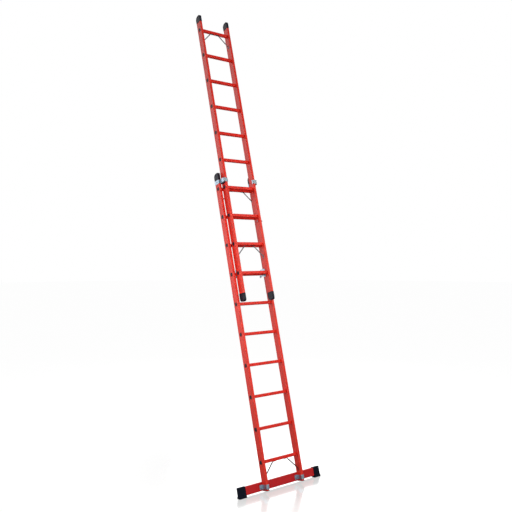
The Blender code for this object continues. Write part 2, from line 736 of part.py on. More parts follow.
def build_fly(frame):
    bodies = [rung_hole(FLY_WIDTH, number) for number in range(RUNG_COUNT)]
    beyond = FLY_WIDTH / 2 + 0.02
    rivet_holes = [hole("X", (-beyond, beyond), (HOOK_RIVET_Y, z)) for z in HOOK_RIVETS_Z]
    stop_hole = hole("X", (0, beyond), (0, STOP_Z))
    cutter = add_cutter("cutter_fly", bodies, frame)
    stile_cutter = add_cutter("cutter_fly_stiles", [*bodies, *rivet_holes, stop_hole], frame)
    add_stiles("fly", FLY_WIDTH, FLY_BELOW_RUNG, frame, stile_cutter)
    add_rungs("fly", FLY_WIDTH, frame)
    add_top_caps("fly", FLY_WIDTH, frame, cutter)
    add_shoes(frame)
    add_braces("fly_brace_lower", FLY_WIDTH, RUNG_PITCH, frame)
    add_braces("fly_brace_top", FLY_WIDTH, TOP_RUNG_Z, frame)
    add_stop_bolt(frame)
    for side, sign in SIDES:
        add_hook(side, sign, frame, cutter)


# ---- the whole ladder -------------------------------------------------------------------------------
def clear_scene():
    for item in list(bpy.data.objects):
        bpy.data.objects.remove(item, do_unlink=True)


def add_frame(name, parent=None):
    """An empty that carries one section."""
    made = bpy.data.objects.new(name, None)
    bpy.context.scene.collection.objects.link(made)
    made.parent = parent
    return made


def stand_on_floor(frame):
    """Leans the ladder and puts the middle of its box over the origin, with the soles on the floor."""
    frame.rotation_euler = (-LEAN, 0, 0)
    front_y = -HALF_DEPTH * math.cos(LEAN) - (BASE_BELOW_RUNG + GAP + PLUG_FLANGE) * math.sin(LEAN)
    arc_y = -FLY_FORWARD + HALF_DEPTH + END_LIP - CAP_BACK_ROUND
    arc_z = RUNGS_EXTENDED * RUNG_PITCH + STILE_TOP_Z + GAP + CAP_HEIGHT - CAP_BACK_ROUND
    back_y = arc_y * math.cos(LEAN) + arc_z * math.sin(LEAN) + CAP_BACK_ROUND
    height = -SOLE_FRONT_Z * math.cos(LEAN) + SOLE_FRONT_Y * math.sin(LEAN)
    frame.location = (0, -(front_y + back_y) / 2, height)


def main():
    clear_scene()
    base_frame = add_frame("base_section")
    stand_on_floor(base_frame)
    fly_frame = add_frame("fly_section", base_frame)
    fly_frame.location = (0, -FLY_FORWARD, RUNGS_EXTENDED * RUNG_PITCH)
    build_base(base_frame)
    build_fly(fly_frame)


main()
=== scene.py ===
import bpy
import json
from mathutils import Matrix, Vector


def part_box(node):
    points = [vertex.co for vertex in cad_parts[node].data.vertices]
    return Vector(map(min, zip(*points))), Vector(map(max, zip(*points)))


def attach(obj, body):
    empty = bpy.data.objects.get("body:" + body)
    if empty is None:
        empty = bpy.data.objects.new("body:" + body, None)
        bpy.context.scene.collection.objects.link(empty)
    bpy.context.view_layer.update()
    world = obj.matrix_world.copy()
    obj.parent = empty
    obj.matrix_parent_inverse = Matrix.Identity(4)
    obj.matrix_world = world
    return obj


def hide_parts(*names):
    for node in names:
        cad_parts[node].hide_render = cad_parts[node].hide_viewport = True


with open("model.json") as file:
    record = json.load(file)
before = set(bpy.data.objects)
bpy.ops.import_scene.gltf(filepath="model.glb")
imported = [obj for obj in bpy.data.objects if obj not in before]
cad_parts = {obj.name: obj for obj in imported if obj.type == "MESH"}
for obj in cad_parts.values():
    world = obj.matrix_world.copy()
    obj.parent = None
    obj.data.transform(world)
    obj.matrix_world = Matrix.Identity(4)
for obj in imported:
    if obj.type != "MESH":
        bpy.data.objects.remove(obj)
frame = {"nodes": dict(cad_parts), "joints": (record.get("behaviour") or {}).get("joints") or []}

"""How the extension ladder looks: finer meshes for its CAD pieces, the small parts that the CAD leaves out,
procedural materials, a pale studio and the camera.

Every mesh is drawn in the frame of its own section, as the CAD is: X runs across the ladder, Y from the
climber's side to the wall, and Z up the stiles from the middle of that section's lowest rung. It is then put
in the row frame by that section's matrix. Lengths are in metres.
"""

import json
import math

import bmesh
import bpy
from mathutils import Matrix, Vector

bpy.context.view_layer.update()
SIDES = (("left", -1), ("right", 1))


# ---- the frames of the two sections -----------------------------------------------------------------
def slide_lean():
    """The ladder's lean from upright, from the axis that the fly slides along."""
    slide = next(joint for joint in frame["joints"] if joint["name"] == "fly_slide")
    _, back, up = slide["axis"]
    return math.atan2(back, up)


def section_matrix(lowest_rung):
    low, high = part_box(lowest_rung)
    return Matrix.Translation((low + high) / 2) @ Matrix.Rotation(-LEAN, 4, "X")


LEAN = slide_lean()
MATRIX = {"base": section_matrix("base_rung_1"), "fly": section_matrix("fly_rung_1")}
BODY = {"base": "base_section", "fly": "fly_section"}
GAP = 0.0003  # between pieces that would otherwise share a face
OVERSHOOT = 0.01  # how far a cutter reaches past what it cuts
ROUND_SIDES = 24


def local_box(node, section):
    """Lowest and highest corner of a CAD node, in its section's own frame."""
    back = MATRIX[section].inverted()
    points = [back @ vertex.co for vertex in frame["nodes"][node].data.vertices]
    low = Vector(min(point[axis] for point in points) for axis in range(3))
    high = Vector(max(point[axis] for point in points) for axis in range(3))
    return low, high


# ---- outlines: lists of (a, b) pairs ----------------------------------------------------------------
def rounded_rectangle(wide, high, radius, segments=5):
    points = []
    for quarter, (a, b) in enumerate(((1, 1), (-1, 1), (-1, -1), (1, -1))):
        for step in range(segments + 1):
            turn = math.pi / 2 * (quarter + step / segments)
            x = a * (wide / 2 - radius) + radius * math.cos(turn)
            y = b * (high / 2 - radius) + radius * math.sin(turn)
            points.append((x, y))
    return points


def circle(radius, sides=ROUND_SIDES):
    turns = [2 * math.pi * side / sides for side in range(sides)]
    return [(radius * math.cos(turn), radius * math.sin(turn)) for turn in turns]


def filleted(line, radius, segments=5):
    """The open line with its corners rounded, as pairs of a point and the unit normal to the line's left."""
    points = [Vector(point) for point in line]
    ways = [(end - start).normalized() for start, end in zip(points, points[1:])]
    made = [(points[0], Vector((-ways[0].y, ways[0].x)))]
    for corner, before, after in zip(points[1:], ways, ways[1:]):
        turn = math.atan2(before.cross(after), before.dot(after))
        side = math.copysign(1.0, turn)
        first_left = Vector((-before.y, before.x))
        centre = corner - before * radius * math.tan(abs(turn) / 2) + first_left * side * radius
        for step in range(segments + 1):
            left = Matrix.Rotation(turn * step / segments, 2) @ first_left
            made.append((centre - left * side * radius, left))
    made.append((points[-1], Vector((-ways[-1].y, ways[-1].x))))
    return made


def bent_strip(line, thickness, radius):
    """The outline of a strip bent round the corners of the line, which is its middle."""
    spine = filleted(line, radius)
    near = [tuple(point + left * thickness / 2) for point, left in spine]
    far = [tuple(point - left * thickness / 2) for point, left in spine]
    return near + far[::-1]


# ---- meshes -----------------------------------------------------------------------------------------
def ring(outline, axis, at, centre=(0, 0)):
    """The outline as points in space, across the axis at the given place.

    Its pairs are the other two axes in order.
    """
    moved = [(a + centre[0], b + centre[1]) for a, b in outline]
    if axis == "X":
        return [(at, a, b) for a, b in moved]
    if axis == "Y":
        return [(a, at, b) for a, b in moved]
    return [(a, b, at) for a, b in moved]


def loft(rings, closed_loop=False):
    """A closed mesh through equal rings, capped at its ends unless the last ring meets the first."""
    shape = bmesh.new()
    rows = [[shape.verts.new(point) for point in points] for points in rings]
    pairs = list(zip(rows, rows[1:]))
    if closed_loop:
        pairs.append((rows[-1], rows[0]))
    else:
        shape.faces.new(rows[0][::-1])
        shape.faces.new(rows[-1])
    for low, high in pairs:
        for place in range(len(low)):
            follow = (place + 1) % len(low)
            shape.faces.new((low[place], low[follow], high[follow], high[place]))
    bmesh.ops.recalc_face_normals(shape, faces=shape.faces)
    if shape.calc_volume(signed=True) < 0:
        bmesh.ops.reverse_faces(shape, faces=shape.faces)
    return mesh_from(shape)


def mesh_from(shape):
    mesh = bpy.data.meshes.new("shape")
    shape.to_mesh(mesh)
    shape.free()
    return mesh


def joined(meshes):
    """One mesh that holds all of these, which are then removed."""
    shape = bmesh.new()
    for mesh in meshes:
        shape.from_mesh(mesh)
        bpy.data.meshes.remove(mesh)
    return mesh_from(shape)


def modified(mesh, *settings):
    """The mesh with these modifiers applied. Each is a type and its values by name."""
    carrier = bpy.data.objects.new("carrier", mesh)
    bpy.context.scene.collection.objects.link(carrier)
    for kind, values in settings:
        modifier = carrier.modifiers.new(kind.lower(), kind)
        for name, value in values.items():
            setattr(modifier, name, value)
    evaluated = carrier.evaluated_get(bpy.context.evaluated_depsgraph_get())
    made = bpy.data.meshes.new_from_object(evaluated)
    bpy.data.objects.remove(carrier)
    bpy.data.meshes.remove(mesh)
    return made


def cut(mesh, cutter_meshes):
    """The mesh less the closed bodies of the cutters."""
    if not cutter_meshes:
        return mesh
    cutter = bpy.data.objects.new("cutter", joined(cutter_meshes))
    bpy.context.scene.collection.objects.link(cutter)
    made = modified(mesh, ("BOOLEAN", {"operation": "DIFFERENCE", "solver": "EXACT", "object": cutter}))
    spent = cutter.data
    bpy.data.objects.remove(cutter)
    bpy.data.meshes.remove(spent)
    return made


def bevelled(mesh, width, segments=2, angle=40):
    values = {
        "width": width,
        "segments": segments,
        "limit_method": "ANGLE",
        "angle_limit": math.radians(angle),
        "offset_type": "OFFSET",
    }
    return modified(mesh, ("BEVEL", values))


def drill(axis, ends, centre, radius):
    """A cutter for a round hole."""
    outline = circle(radius)
    return loft([ring(outline, axis, ends[0], centre), ring(outline, axis, ends[1], centre)])


def cad_copy(node, section):
    """The CAD node's mesh in its section's frame, with its flat faces whole again."""
    shape = bmesh.new()
    shape.from_mesh(frame["nodes"][node].data)
    shape.transform(MATRIX[section].inverted())
    bmesh.ops.remove_doubles(shape, verts=shape.verts, dist=0.00002)
    bmesh.ops.dissolve_limit(shape, angle_limit=math.radians(1.0), verts=shape.verts, edges=shape.edges)
    mesh = mesh_from(shape)
    if mesh.attributes.get("custom_normal"):
        mesh.attributes.remove(mesh.attributes["custom_normal"])
    return mesh


def placed(mesh, axis, outward, at):
    """Turns a mesh drawn along +Z to point along the axis, and moves its origin to the given point."""
    way = Vector({"X": (outward, 0, 0), "Y": (0, outward, 0), "Z": (0, 0, outward)}[axis])
    mesh.transform(Matrix.Translation(at) @ way.to_track_quat("Z", "Y").to_matrix().to_4x4())
    return mesh


# ---- materials --------------------------------------------------------------------------------------
class Surface:
    """A node material in the making."""

    def __init__(self, name, colour, roughness, metallic=0.0):
        self.material = bpy.data.materials.new(name)
        self.material.use_nodes = True
        self.tree = self.material.node_tree
        self.shader = self.tree.nodes["Principled BSDF"]
        self.shader.inputs["Base Color"].default_value = (*colour, 1.0)
        self.shader.inputs["Roughness"].default_value = roughness
        self.shader.inputs["Metallic"].default_value = metallic
        self.place = self.node("ShaderNodeTexCoord").outputs["Object"]

    def node(self, kind, **values):
        made = self.tree.nodes.new(kind)
        for name, value in values.items():
            setattr(made, name, value)
        return made

    def join(self, output, socket):
        self.tree.links.new(output, socket)

    def stretched(self, stretch):
        """Coordinates along the leaning ladder's own axes, divided by the stretch."""
        mapping = self.node("ShaderNodeMapping", vector_type="TEXTURE")
        mapping.inputs["Rotation"].default_value = (-LEAN, 0, 0)
        mapping.inputs["Scale"].default_value = stretch
        self.join(self.place, mapping.inputs["Vector"])
        return mapping.outputs["Vector"]

    def noise(self, scale, detail=3.0, stretch=(1, 1, 1), distortion=0.0):
        made = self.node("ShaderNodeTexNoise")
        made.inputs["Scale"].default_value = scale
        made.inputs["Detail"].default_value = detail
        made.inputs["Distortion"].default_value = distortion
        self.join(self.stretched(stretch), made.inputs["Vector"])
        return made.outputs["Fac"]

    def spread(self, factor, low, high, to_low, to_high):
        """The factor's range from low to high, taken to another range."""
        made = self.node("ShaderNodeMapRange")
        for name, value in (("From Min", low), ("From Max", high), ("To Min", to_low), ("To Max", to_high)):
            made.inputs[name].default_value = value
        self.join(factor, made.inputs["Value"])
        return made.outputs["Result"]

    def blend(self, factor, first, second):
        """A colour between two, each an output or three numbers."""
        made = self.node("ShaderNodeMix", data_type="RGBA")
        self.join(factor, made.inputs["Factor"])
        for socket, colour in ((made.inputs["A"], first), (made.inputs["B"], second)):
            if isinstance(colour, tuple):
                socket.default_value = (*colour, 1.0)
            else:
                self.join(colour, socket)
        return made.outputs["Result"]

    def add(self, first, second):
        made = self.node("ShaderNodeMath", operation="ADD")
        self.join(first, made.inputs[0])
        self.join(second, made.inputs[1])
        return made.outputs["Value"]

    def bump(self, height, distance, strength=1.0, below=None):
        made = self.node("ShaderNodeBump")
        made.inputs["Strength"].default_value = strength
        made.inputs["Distance"].default_value = distance
        self.join(height, made.inputs["Height"])
        if below is not None:
            self.join(below, made.inputs["Normal"])
        return made.outputs["Normal"]

    def finish(self, colour, roughness, normal):
        self.join(colour, self.shader.inputs["Base Color"])
        self.join(roughness, self.shader.inputs["Roughness"])
        self.join(normal, self.shader.inputs["Normal"])
        return self.material


def scaled(colour, by):
    return tuple(channel * by for channel in colour)


RESIN_GLOSS = 0.40


def glass_fibre(name, colour, stretch, roughness):
    """Pultruded glass fibre: bundles of fibre run lengthwise under a glossy resin skin with a cloudy veil."""
    surface = Surface(name, colour, roughness)
    surface.shader.inputs["Specular IOR Level"].default_value = RESIN_GLOSS
    bundles = surface.noise(420.0, 3.0, stretch)
    fibres = surface.noise(1500.0, 2.0, stretch)
    veil = surface.noise(170.0, 3.0, (1, 1, 1), 1.6)
    clouds = surface.noise(9.0, 4.0)
    bundle_share = surface.spread(bundles, 0.32, 0.68, 0.0, 1.0)
    shade = surface.blend(bundle_share, scaled(colour, 0.86), scaled(colour, 1.08))
    paler = tuple(0.94 * channel + 0.024 for channel in colour)
    shade = surface.blend(surface.spread(veil, 0.48, 0.72, 0.0, 0.25), shade, paler)
    shade = surface.blend(surface.spread(clouds, 0.35, 0.70, 0.0, 0.22), shade, scaled(colour, 0.78))
    rough = surface.spread(surface.add(bundles, clouds), 0.7, 1.3, roughness - 0.05, roughness + 0.09)
    relief = surface.bump(bundles, 0.00012, 0.5)
    relief = surface.bump(fibres, 0.00004, 0.5, relief)
    return surface.finish(shade, rough, surface.bump(veil, 0.00006, 0.4, relief))


def moulded(name, colour, roughness, grain, gloss):
    """Moulded plastic or rubber: an even fine grain, faint flow clouds and dusty scuffs."""
    surface = Surface(name, colour, roughness)
    pits = surface.noise(grain, 2.0)
    clouds = surface.noise(30.0, 4.0)
    scuffs = surface.noise(260.0, 4.0, (1, 1, 6), 0.8)
    cloud_share = surface.spread(clouds, 0.3, 0.7, 0.0, 1.0)
    shade = surface.blend(cloud_share, scaled(colour, 0.82), scaled(colour, 1.25))
    dusty = tuple(1.6 * channel + 0.006 for channel in colour)
    shade = surface.blend(surface.spread(scuffs, 0.60, 0.76, 0.0, 0.6), shade, dusty)
    rough = surface.spread(surface.add(clouds, scuffs), 0.75, 1.3, roughness - 0.05, roughness + 0.12)
    relief = surface.bump(pits, 0.00008, 0.7)
    surface.shader.inputs["Specular IOR Level"].default_value = gloss
    return surface.finish(shade, rough, surface.bump(clouds, 0.0004, 0.3, relief))


FLOOR_SHADE_FADE = (0.4, 1.4)  # heights at which the painted shade near the floor starts to fade and ends
FLOOR_SHADE_BRIGHTNESS = 0.1  # how bright the painted shade leaves the steel


def galvanised(name, colour, roughness, painted_floor_shade=0.0):
    """Zinc-plated steel: a faint crystal spangle, fine brushing, duller patches and painted shade that
    darkens it near the floor.
    """
    surface = Surface(name, colour, roughness, 1.0)
    cells = surface.node("ShaderNodeTexVoronoi")
    cells.inputs["Scale"].default_value = 210.0
    surface.join(surface.stretched((1, 1, 1)), cells.inputs["Vector"])
    tone = surface.node("ShaderNodeRGBToBW")
    surface.join(cells.outputs["Color"], tone.inputs["Color"])
    brushing = surface.noise(900.0, 2.0, (1, 1, 14))
    dull = surface.noise(38.0, 4.0)
    shade = surface.blend(tone.outputs["Val"], scaled(colour, 0.86), scaled(colour, 1.12))
    shade = surface.blend(surface.spread(dull, 0.45, 0.75, 0.0, 0.55), shade, scaled(colour, 0.68))
    # painted shade: the steel is made darker towards the floor, where the ladder is lit less
    if painted_floor_shade:
        split = surface.node("ShaderNodeSeparateXYZ")
        surface.join(surface.place, split.inputs["Vector"])
        painted_shade_share = surface.spread(split.outputs["Z"], *FLOOR_SHADE_FADE, painted_floor_shade, 0.0)
        shade = surface.blend(painted_shade_share, shade, scaled(colour, FLOOR_SHADE_BRIGHTNESS))
    patches = surface.add(tone.outputs["Val"], dull)
    rough = surface.spread(patches, 0.5, 1.5, roughness - 0.08, roughness + 0.14)
    return surface.finish(shade, rough, surface.bump(brushing, 0.00005, 0.5))


ALONG_Z = (1, 1, 60)
ALONG_X = (60, 1, 1)
MATERIAL = {
    "red_stile": glass_fibre("red_stile_fibreglass", (0.76, 0.024, 0.010), ALONG_Z, 0.34),
    "red_rung": glass_fibre("red_rung_fibreglass", (0.74, 0.018, 0.008), ALONG_X, 0.36),
    "red_bar": glass_fibre("red_bar_fibreglass", (0.56, 0.004, 0.007), ALONG_X, 0.38),
    "black_plastic": moulded("black_moulded_plastic", (0.007, 0.008, 0.018), 0.42, 2600.0, 0.25),
    "black_rubber": moulded("black_moulded_rubber", (0.003, 0.005, 0.014), 0.62, 1700.0, 0.10),
    "zinc_steel": galvanised("zinc_plated_steel", (0.42, 0.52, 0.62), 0.34),
    # the braces' steel carries painted shade, darker towards the floor
    "dull_steel": galvanised("dull_galvanised_steel", (0.22, 0.22, 0.25), 0.40, painted_floor_shade=0.9),
}


# ---- pieces -----------------------------------------------------------------------------------------
def add_piece(name, mesh, section, slot, replaces=(), body=None, sharp=40):
    """A finished piece: its mesh is drawn in the section's frame and rides on a CAD body."""
    mesh.name = name
    mesh.shade_smooth()
    mesh.set_sharp_from_angle(angle=math.radians(sharp))
    mesh = modified(mesh, ("WEIGHTED_NORMAL", {"keep_sharp": True, "weight": 90}))
    mesh.name = name
    mesh.transform(MATRIX[section])
    mesh.materials.clear()
    mesh.materials.append(MATERIAL[slot])
    piece = bpy.data.objects.new(name, mesh)
    bpy.context.scene.collection.objects.link(piece)
    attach(piece, body or BODY[section])
    if replaces:
        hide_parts(*replaces)
    return piece


def refined(node, section, slot, width, segments=2, body=None, cutters=()):
    """The CAD node with rounded edges, under a new name."""
    mesh = cut(cad_copy(node, section), list(cutters))
    mesh = bevelled(mesh, width, segments)
    return add_piece(f"{node}_detailed", mesh, section, slot, (node,), body)


# ---- stiles and rungs -------------------------------------------------------------------------------
STILE_WALL = 0.0035
STILE_CORNER = 0.003
GROOVE_DEPTH = 0.0012
GROOVE_HALF = 0.0215
GROOVE_SLOPE = 0.002
RUNG_CORNER = 0.004
RUNG_WALL = 0.0025
RIB_PITCH = 0.004
RIB_DEEP = 0.0005
RUNG_NUMBERS = range(1, 11)


def stile_outline(thick, deep, inset):
    half = thick / 2 - inset
    corners = rounded_rectangle(2 * half, deep - 2 * inset, STILE_CORNER - inset / 2)
    groove = GROOVE_HALF - inset / 2
    right = [
        (half, -groove - GROOVE_SLOPE),
        (half - GROOVE_DEPTH, -groove),
        (half - GROOVE_DEPTH, groove),
        (half, groove + GROOVE_SLOPE),
    ]
    left = [(-a, -b) for a, b in right]
    return corners[:12] + left + corners[12:] + right


def tube(outer, inner, axis, ends, centre):
    rings = [
        ring(outer, axis, ends[0], centre),
        ring(outer, axis, ends[1], centre),
        ring(inner, axis, ends[1], centre),
        ring(inner, axis, ends[0], centre),
    ]
    return loft(rings, closed_loop=True)


def add_stile(section, side):
    """A hollow stile with the holes that its rungs pass through."""
    node = f"{section}_stile_{side}"
    low, high = local_box(node, section)
    centre = (low + high) / 2
    size = high - low
    outer = stile_outline(size.x, size.y, 0)
    inner = stile_outline(size.x, size.y, STILE_WALL)
    mesh = tube(outer, inner, "Z", (low.z, high.z), (centre.x, centre.y))
    holes = []
    for number in RUNG_NUMBERS:
        rung_low, rung_high = local_box(f"{section}_rung_{number}", section)
        square = rung_high.y - rung_low.y + 2 * GAP
        outline = rounded_rectangle(square, square, RUNG_CORNER)
        middle = ((rung_low.y + rung_high.y) / 2, (rung_low.z + rung_high.z) / 2)
        holes.append(loft([ring(outline, "X", x, middle) for x in (low.x - OVERSHOOT, high.x + OVERSHOOT)]))
    add_piece(f"{node}_detailed", cut(mesh, holes), section, "red_stile", (node,))


def ribbed_square(size, radius):
    """A rounded square with four fine anti-slip grooves along each side."""
    points = []
    corner = rounded_rectangle(size, size, radius, 4)
    for quarter in range(4):
        points += corner[5 * quarter : 5 * quarter + 5]
        turn = Matrix.Rotation(math.pi / 2 * (quarter + 1), 2)
        for rib in (-1.5, -0.5, 0.5, 1.5):
            middle = -rib * RIB_PITCH
            for across, deep in ((0.0011, 0), (0.0007, RIB_DEEP), (-0.0007, RIB_DEEP), (-0.0011, 0)):
                points.append(tuple(turn @ Vector((size / 2 - deep, -(middle + across)))))
    return points


def add_rungs(section):
    """The ribbed rungs, each a square tube."""
    for number in RUNG_NUMBERS:
        node = f"{section}_rung_{number}"
        low, high = local_box(node, section)
        size = high.z - low.z
        centre = ((low.y + high.y) / 2, (low.z + high.z) / 2)
        outer = ribbed_square(size, RUNG_CORNER)
        hollow = size - 2 * RUNG_WALL
        inner = [(a * hollow / size, b * hollow / size) for a, b in ribbed_square(size, RUNG_CORNER)]
        mesh = tube(outer, inner, "X", (low.x, high.x), centre)
        add_piece(f"{node}_detailed", mesh, section, "red_rung", (node,), sharp=50)
        add_rung_plugs(section, number, low, high)


PLUG_WIDE = 0.031
PLUG_HIGH = 0.034
PLUG_ROUND = 0.0105
PLUG_PROUD = 0.0020
SPIGOT_ROUND = 0.002
SPIGOT_LONG = 0.012


def plug_mesh(spigot):
    """The plug in a rung's end: a domed flange with a shallow ring in it, and a spigot inside the rung."""

    def flange(inset):
        return rounded_rectangle(PLUG_WIDE - 2 * inset, PLUG_HIGH - 2 * inset, PLUG_ROUND - inset, 6)

    inside = rounded_rectangle(spigot, spigot, SPIGOT_ROUND, 6)
    steps = (
        (inside, -SPIGOT_LONG),
        (inside, 0.0001),
        (flange(0.0002), 0.0001),
        (flange(0), 0.0004),
        (flange(0), 0.0010),
        (flange(0.0005), 0.0015),
        (flange(0.0016), PLUG_PROUD),
        (flange(0.0045), PLUG_PROUD),
        (flange(0.0050), PLUG_PROUD - 0.0004),
        (flange(0.0056), PLUG_PROUD - 0.0004),
        (flange(0.0061), PLUG_PROUD),
        (flange(0.0090), PLUG_PROUD + 0.0001),
    )
    return loft([ring(outline, "Z", at) for outline, at in steps])


def add_rung_plugs(section, number, low, high):
    """Black plastic plugs in both ends of a rung."""
    spigot = high.z - low.z - 2 * RUNG_WALL - 2 * RIB_DEEP - 2 * GAP
    for side, sign in SIDES:
        end = Vector((sign * high.x, (low.y + high.y) / 2, (low.z + high.z) / 2))
        plug = placed(plug_mesh(spigot), "X", sign, (0, 0, 0))
        plug.transform(Matrix.Translation(end))
        add_piece(f"{section}_rung_plug_{side}_{number}", plug, section, "black_plastic")


# ---- braces -----------------------------------------------------------------------------------------
ROD = 0.005  # radius of a brace
FLAT_THICK = 0.003  # of its flattened ends
FLAT_WIDE = 0.015
FLAT_TAPER = 0.016  # along the brace, from flat to round
BRACE_SIDES = 16
BRACE_BEND = 0.010  # radius of its middle at its bends
BRACE_DROP = 0.105  # from the rung down to the bend at the stile
BRACE_REACH = 0.103  # from the stile to the bend under the rung
BRACE_STEP = 0.003
TIP_LEAST = 0.12  # square of the width that is left at the very tip, as a share of the flat end's
LUG_RIVETS = (0.008,)  # places of the rivets, from each end of the brace
TAB_RIVETS = (0.009, 0.023)
BRACES = {
    "base_brace_bottom": "base",
    "base_brace_top": "base",
    "fly_brace_lower": "fly",
    "fly_brace_top": "fly",
}


def stepped(points, step):
    """The path with extra points, so that none are further apart than the step."""
    made = [points[0]]
    for start, end in zip(points, points[1:]):
        count = max(1, math.ceil((end - start).length / step))
        made += [start.lerp(end, place / count) for place in range(1, count + 1)]
    return made


def brace_rings(path, flats):
    """Sections along a brace, flat for the given length at each end and round between."""
    lengths = [0.0]
    for start, end in zip(path, path[1:]):
        lengths.append(lengths[-1] + (end - start).length)
    rings = []
    for place, point in enumerate(path):
        from_ends = (lengths[place], lengths[-1] - lengths[place])
        share = min((reach - flat) / FLAT_TAPER for reach, flat in zip(from_ends, flats))
        share = min(1.0, max(0.0, share))
        share = share * share * (3 - 2 * share)
        thin = FLAT_THICK / 2 + share * (ROD - FLAT_THICK / 2)
        wide = FLAT_WIDE / 2 + share * (ROD - FLAT_WIDE / 2)
        near_tip = min(1.0, min(from_ends) / (FLAT_WIDE / 2))
        wide *= math.sqrt(max(TIP_LEAST, 1 - (1 - near_tip) ** 2))
        before = path[max(place - 1, 0)]
        after = path[min(place + 1, len(path) - 1)]
        along = (after - before).normalized()
        outline = circle(1.0, BRACE_SIDES)
        rings.append([
            (point.x - along.y * thin * b, wide * a, point.y + along.x * thin * b)
            for a, b in outline
        ])
    return rings


def add_brace(brace, section, side, sign):
    """A bent rod from a stile to the underside of a rung, flattened and riveted at both ends."""
    node = f"{brace}_{side}"
    low, high = local_box(node, section)
    wall = max(abs(low.x), abs(high.x)) - FLAT_THICK / 2
    tab = min(abs(low.x), abs(high.x))
    under = high.z - FLAT_THICK / 2
    knee = wall - BRACE_REACH
    line = [(tab, under), (knee, under), (wall, under - BRACE_DROP), (wall, low.z)]
    path = [point for point, _ in filleted(line, BRACE_BEND)]
    flats = (knee - tab, under - BRACE_DROP - low.z)
    rings = brace_rings(stepped(path, BRACE_STEP), flats)
    mirrored = [[(sign * x, y, z) for x, y, z in points] for points in rings]
    add_piece(f"{node}_detailed", loft(mirrored), section, "dull_steel", (node,), sharp=55)
    heads = []
    for up in LUG_RIVETS:
        at = (sign * (wall - FLAT_THICK / 2), 0, low.z + up)
        heads.append(placed(rivet_mesh(), "X", -sign, at))
    for along in TAB_RIVETS:
        at = (sign * (tab + along), 0, under - FLAT_THICK / 2)
        heads.append(placed(rivet_mesh(), "Z", -1, at))
    add_piece(f"{node}_rivets", joined(heads), section, "dull_steel")


def rivet_mesh():
    """The round head of a blind rivet, with the hole that its mandrel leaves."""
    steps = (
        (0.0046, 0),
        (0.0048, 0.0004),
        (0.0042, 0.0010),
        (0.0030, 0.0015),
        (0.0015, 0.0017),
        (0.0013, 0.0009),
    )
    return loft([ring(circle(radius, 20), "Z", at) for radius, at in steps])


# ---- fasteners --------------------------------------------------------------------------------------
HEX_HALF = 0.0050  # half the width across a head's flats
FLANGE = 0.0071
THREAD = 0.0030
HEAD_HIGH = 0.0045
THREAD_END = 0.0030


def hex_ring(at, crown=0.0):
    """A hexagon with a circle's count of points, its corners lower than its flats by the crown's slope."""
    points = []
    for side in range(ROUND_SIDES):
        turn = 2 * math.pi * side / ROUND_SIDES
        off_flat = (turn + math.pi / 6) % (math.pi / 3) - math.pi / 6
        radius = HEX_HALF / math.cos(off_flat)
        z = at - crown * (radius - HEX_HALF * 0.97)
        points.append((radius * math.cos(turn), radius * math.sin(turn), z))
    return points


def bolt_mesh(grip):
    """A flanged bolt through a grip of that length, with its flanged nut and the thread beyond it."""

    def disc(radius, at):
        return ring(circle(radius), "Z", at)

    head = [
        disc(0.0028, HEAD_HIGH - 0.0003),
        disc(0.0034, HEAD_HIGH),
        disc(HEX_HALF * 0.95, HEAD_HIGH),
        hex_ring(HEAD_HIGH, 0.6),
        hex_ring(0.0014),
        disc(0.0061, 0.0011),
        disc(FLANGE, 0.0006),
        disc(FLANGE, 0),
        disc(THREAD, 0),
    ]
    nut = [
        disc(THREAD, -grip),
        disc(FLANGE, -grip),
        disc(FLANGE, -grip - 0.0006),
        disc(0.0061, -grip - 0.0011),
        hex_ring(-grip - 0.0014),
        hex_ring(-grip - HEAD_HIGH, -0.6),
        disc(HEX_HALF * 0.95, -grip - HEAD_HIGH),
        disc(THREAD + 0.0004, -grip - HEAD_HIGH),
        disc(THREAD, -grip - HEAD_HIGH + 0.0004),
    ]
    thread = []
    for turn in range(6):
        top = -grip - HEAD_HIGH - turn * THREAD_END / 6
        thread.append(disc(THREAD, top))
        thread.append(disc(THREAD - 0.0004, top - THREAD_END / 12))
    thread.append(disc(THREAD - 0.0006, -grip - HEAD_HIGH - THREAD_END))
    return loft(head + nut + thread)


def add_bolt(node, section, axis, outward):
    """A detailed bolt where the CAD has a plain one. Its head points outward along the axis."""
    low, high = local_box(node, section)
    place = "XYZ".index(axis)
    at = (low + high) / 2
    top = (high if outward > 0 else low)[place]
    tip = (low if outward > 0 else high)[place]
    at[place] = top - outward * HEAD_HIGH
    grip = abs(top - tip) - 2 * HEAD_HIGH - THREAD_END
    mesh = placed(bolt_mesh(grip), axis, outward, at)
    add_piece(f"{node}_detailed", mesh, section, "zinc_steel", (node,), sharp=32)


def bolt_centre(node, section):
    low, high = local_box(node, section)
    return (low + high) / 2


# ---- steel straps -----------------------------------------------------------------------------------
PLATE = 0.003
BEND = 0.004  # radius of a strap's middle at its bends
HOLE = 0.0034
LIP = 0.014  # how far a guide wraps round onto a stile's inner face
GLIDE_EDGE = 0.001
GLIDE_ROUND = 0.0035


def strap(outline, low_z, high_z, holes):
    mesh = loft([ring(outline, "Z", low_z), ring(outline, "Z", high_z)])
    return bevelled(cut(mesh, holes), 0.0005, 2, 50)


